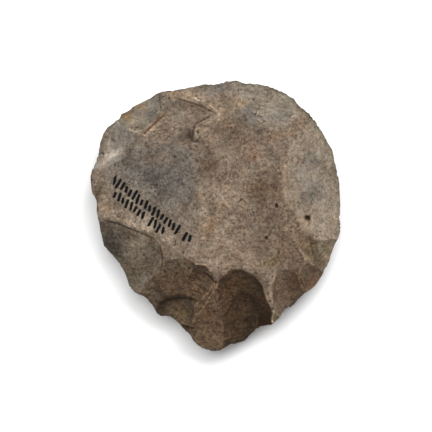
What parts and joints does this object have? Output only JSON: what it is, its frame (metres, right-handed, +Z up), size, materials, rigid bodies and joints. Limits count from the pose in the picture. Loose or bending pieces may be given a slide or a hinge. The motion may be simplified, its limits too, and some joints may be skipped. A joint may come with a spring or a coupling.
{
  "type": "stone hand axe",
  "caption": "Broad knapped stone hand axe with a rounded butt, a blunt tip, flake scars on both faces and a wavy cutting edge all round.",
  "frame": {"origin": "under the middle of the outline, on the plane of the small resting flat on the back face", "axes": "+Y from the blunt tip towards the rounded butt, +Z up out of the front face, +X to the right of the front face with the butt uppermost"},
  "size_m": [0.0928, 0.1004, 0.0296],
  "materials": {
    "flint": "matt weathered"
  },
  "bodies": {
    "root": {"hand_axe": "flint"}
  },
  "joints": []
}
